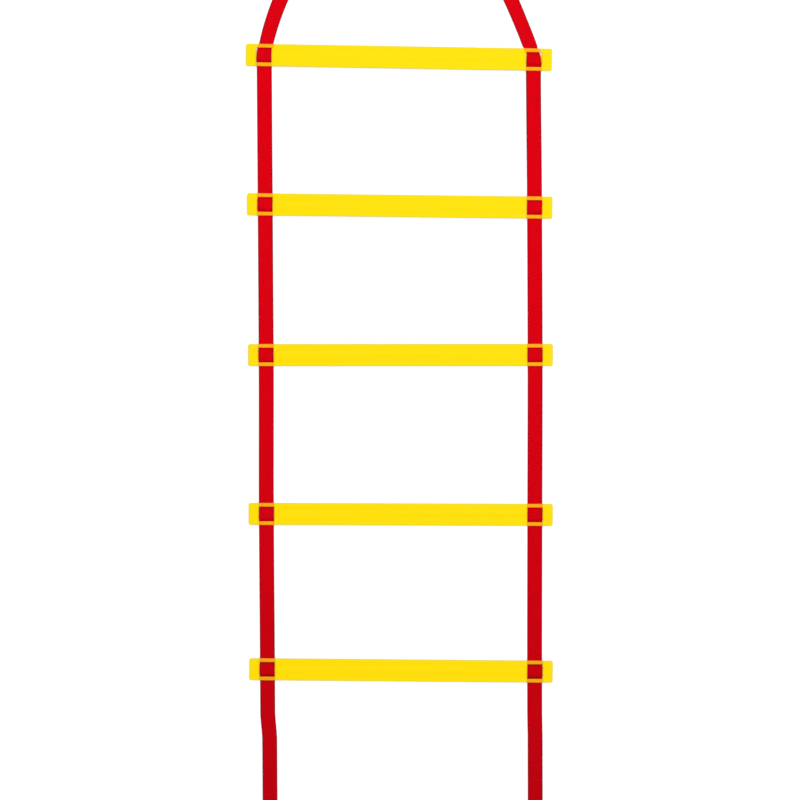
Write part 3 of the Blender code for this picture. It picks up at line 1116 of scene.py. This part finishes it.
class LADDER_OT_sew_crossings(bpy.types.Operator):
    """Sew a box and cross of thread through the crossed webbing at each end"""

    bl_idname = "ladder.sew_crossings"
    bl_label = "Sew Crossings"

    def execute(self, context):
        pattern = self.make_stitch()
        for end in ENDS:
            self.sew(pattern, end)
        bpy.data.objects.remove(pattern, do_unlink=True)
        return {"FINISHED"}

    def make_stitch(self):
        """One stitch along X: thread that comes up out of the webbing and dives back in."""
        size = sizes()
        stitch = new_grid("stitch_pattern", STITCH_SIDES, STITCH_RINGS)
        grid = point_positions(stitch.data)
        turn = (grid[:, 0] + 0.5) * math.tau
        along = grid[:, 1] * 2
        length = size.stitch_length * STITCH_SHARE
        rise = size.thread_radius * (STITCH_RISE * (1 - along**2) - STITCH_DIVE)
        radius = size.thread_radius * (1 - STITCH_THINNING * along**4)
        places = np.column_stack([along * length / 2, radius * np.cos(turn), rise + radius * np.sin(turn)])
        stitch.data.vertices.foreach_set("co", places.ravel())
        stitch.data.update()
        close_shell(STITCH_MERGE)
        bpy.ops.object.shade_smooth_by_angle(angle=THREAD_CREASE)
        write_surface_map(stitch, point_positions(stitch.data)[:, [1, 0]])
        return stitch

    def stitch_line(self, start, stop):
        """Centres and direction of the stitches along one sewn line."""
        way = stop - start
        count = max(round(way.length / sizes().stitch_length), 1)
        angle = math.atan2(way.y, way.x)
        return [(start + way * (step + 0.5) / count, angle) for step in range(count)]

    def sew(self, pattern, end):
        """Thread along the four sides of a box and its diagonals, on top of one crossing."""
        half = sizes().stitch_box / 2
        corners = [Vector((-half, -half)), Vector((half, -half)), Vector((half, half)), Vector((-half, half))]
        lines = [(corners[turn], corners[(turn + 1) % 4]) for turn in range(4)]
        lines += [(corners[0], corners[2]), (corners[1], corners[3])]
        stitches = []
        top_face = crossing_level() + sizes().webbing_thickness / 2
        for start, stop in lines:
            for centre, angle in self.stitch_line(start, stop):
                stitch = copy_piece(pattern, "stitch")
                lay_down(stitch, (centre.x, crossing_place(end) + centre.y, top_face), angle)
                stitches.append(stitch)
        select_only(stitches[0])
        for stitch in stitches:
            stitch.select_set(True)
        bpy.ops.object.join()
        thread = active_piece(f"stitching_{end}")
        dress(thread, bpy.data.materials["red sewing thread"])
        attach(thread, f"loop_{end}")


class LADDER_OT_set_stage(bpy.types.Operator):
    """Set the white floor, the soft light from above and the camera that looks down on the ladder"""

    bl_idname = "ladder.set_stage"
    bl_label = "Set Stage"

    def execute(self, context):
        self.lay_floor()
        self.hang_light()
        self.light_world()
        self.place_camera()
        context.scene.view_settings.view_transform = "Standard"
        return {"FINISHED"}

    def lay_floor(self):
        floor = new_grid("studio_floor", FLOOR_STEPS, FLOOR_STEPS, FLOOR_SIZE)
        lay_down(floor, (0, 0, -FLOOR_DROP))
        shading, shader = new_material("white studio floor")
        rays = shading.node("ShaderNodeLightPath").outputs
        seen = shading.maths("ADD", rays["Is Camera Ray"], rays["Is Glossy Ray"])
        seen = shading.maths("ADD", seen, rays["Is Transmission Ray"], clamp=True)
        shading.feed_all(shader, {
            "Base Color": opaque([FLOOR_GREY] * 3),
            "Roughness": FLOOR_ROUGHNESS,
            "Specular IOR Level": 0.0,
            "Emission Color": WHITE,
            "Emission Strength": shading.maths("MULTIPLY", seen, FLOOR_GLOW),
        })
        floor.data.materials.append(bpy.data.materials["white studio floor"])

    def hang_light(self):
        lamp = bpy.data.lights.new("soft overhead light", "AREA")
        lamp.shape = "SQUARE"
        lamp.size = LIGHT_SIZE
        lamp.energy = LIGHT_POWER
        holder = new_object("soft overhead light", lamp)
        holder.location = LIGHT_PLACE
        holder.rotation_euler = (Vector((0, 0, 0)) - holder.location).to_track_quat("-Z", "Y").to_euler()

    def light_world(self):
        world = bpy.data.worlds.new("pale studio")
        bpy.context.scene.world = world
        world.use_nodes = True
        shading = Shading(world.node_tree)
        rays = shading.node("ShaderNodeLightPath").outputs
        strength = shading.smooth(rays["Is Camera Ray"], 0.0, 1.0, WORLD_STRENGTH, 1.0)
        shading.feed_all(world.node_tree.nodes["Background"], {"Color": WHITE, "Strength": strength})

    def place_camera(self):
        """Camera looking almost straight down, a little nearer to the first rung."""
        lens = bpy.data.cameras.new("camera")
        lens.lens = LENS
        lens.sensor_width = SENSOR
        holder = new_object("camera", lens)
        bpy.context.scene.camera = holder
        aim = Vector((0, RUNG_PLACES[2] - AIM_BELOW, AIM_HEIGHT))
        holder.location = aim + CAMERA_DISTANCE * Vector((0, math.sin(CAMERA_LEAN), math.cos(CAMERA_LEAN)))
        holder.rotation_euler = (-CAMERA_LEAN, 0, CAMERA_ROLL)


class LADDER_PT_panel(bpy.types.Panel):
    """Steps that build the ladder, with its sizes and colours"""

    bl_label = "Agility Ladder"
    bl_idname = "LADDER_PT_panel"
    bl_space_type = "VIEW_3D"
    bl_region_type = "UI"
    bl_category = "Ladder"

    def draw(self, context):
        for step in STEPS:
            self.layout.operator(step.bl_idname)
        for settings in (context.scene.ladder_sizes, context.scene.ladder_colours):
            box = self.layout.box()
            for key in type(settings).__annotations__:
                box.prop(settings, key)


STEPS = (
    LADDER_OT_make_materials,
    LADDER_OT_mould_rungs,
    LADDER_OT_weave_straps,
    LADDER_OT_sew_crossings,
    LADDER_OT_set_stage,
)
CLASSES = (LadderSizes, LadderColours, *STEPS, LADDER_PT_panel)


def register():
    for kind in CLASSES:
        bpy.utils.register_class(kind)
    bpy.types.Scene.ladder_sizes = bpy.props.PointerProperty(type=LadderSizes)
    bpy.types.Scene.ladder_colours = bpy.props.PointerProperty(type=LadderColours)


def unregister():
    del bpy.types.Scene.ladder_colours
    del bpy.types.Scene.ladder_sizes
    for kind in reversed(CLASSES):
        bpy.utils.unregister_class(kind)


def main():
    register()
    bpy.ops.ladder.make_materials()
    bpy.ops.ladder.mould_rungs()
    bpy.ops.ladder.weave_straps()
    bpy.ops.ladder.sew_crossings()
    bpy.ops.ladder.set_stage()


if __name__ == "__main__":
    main()
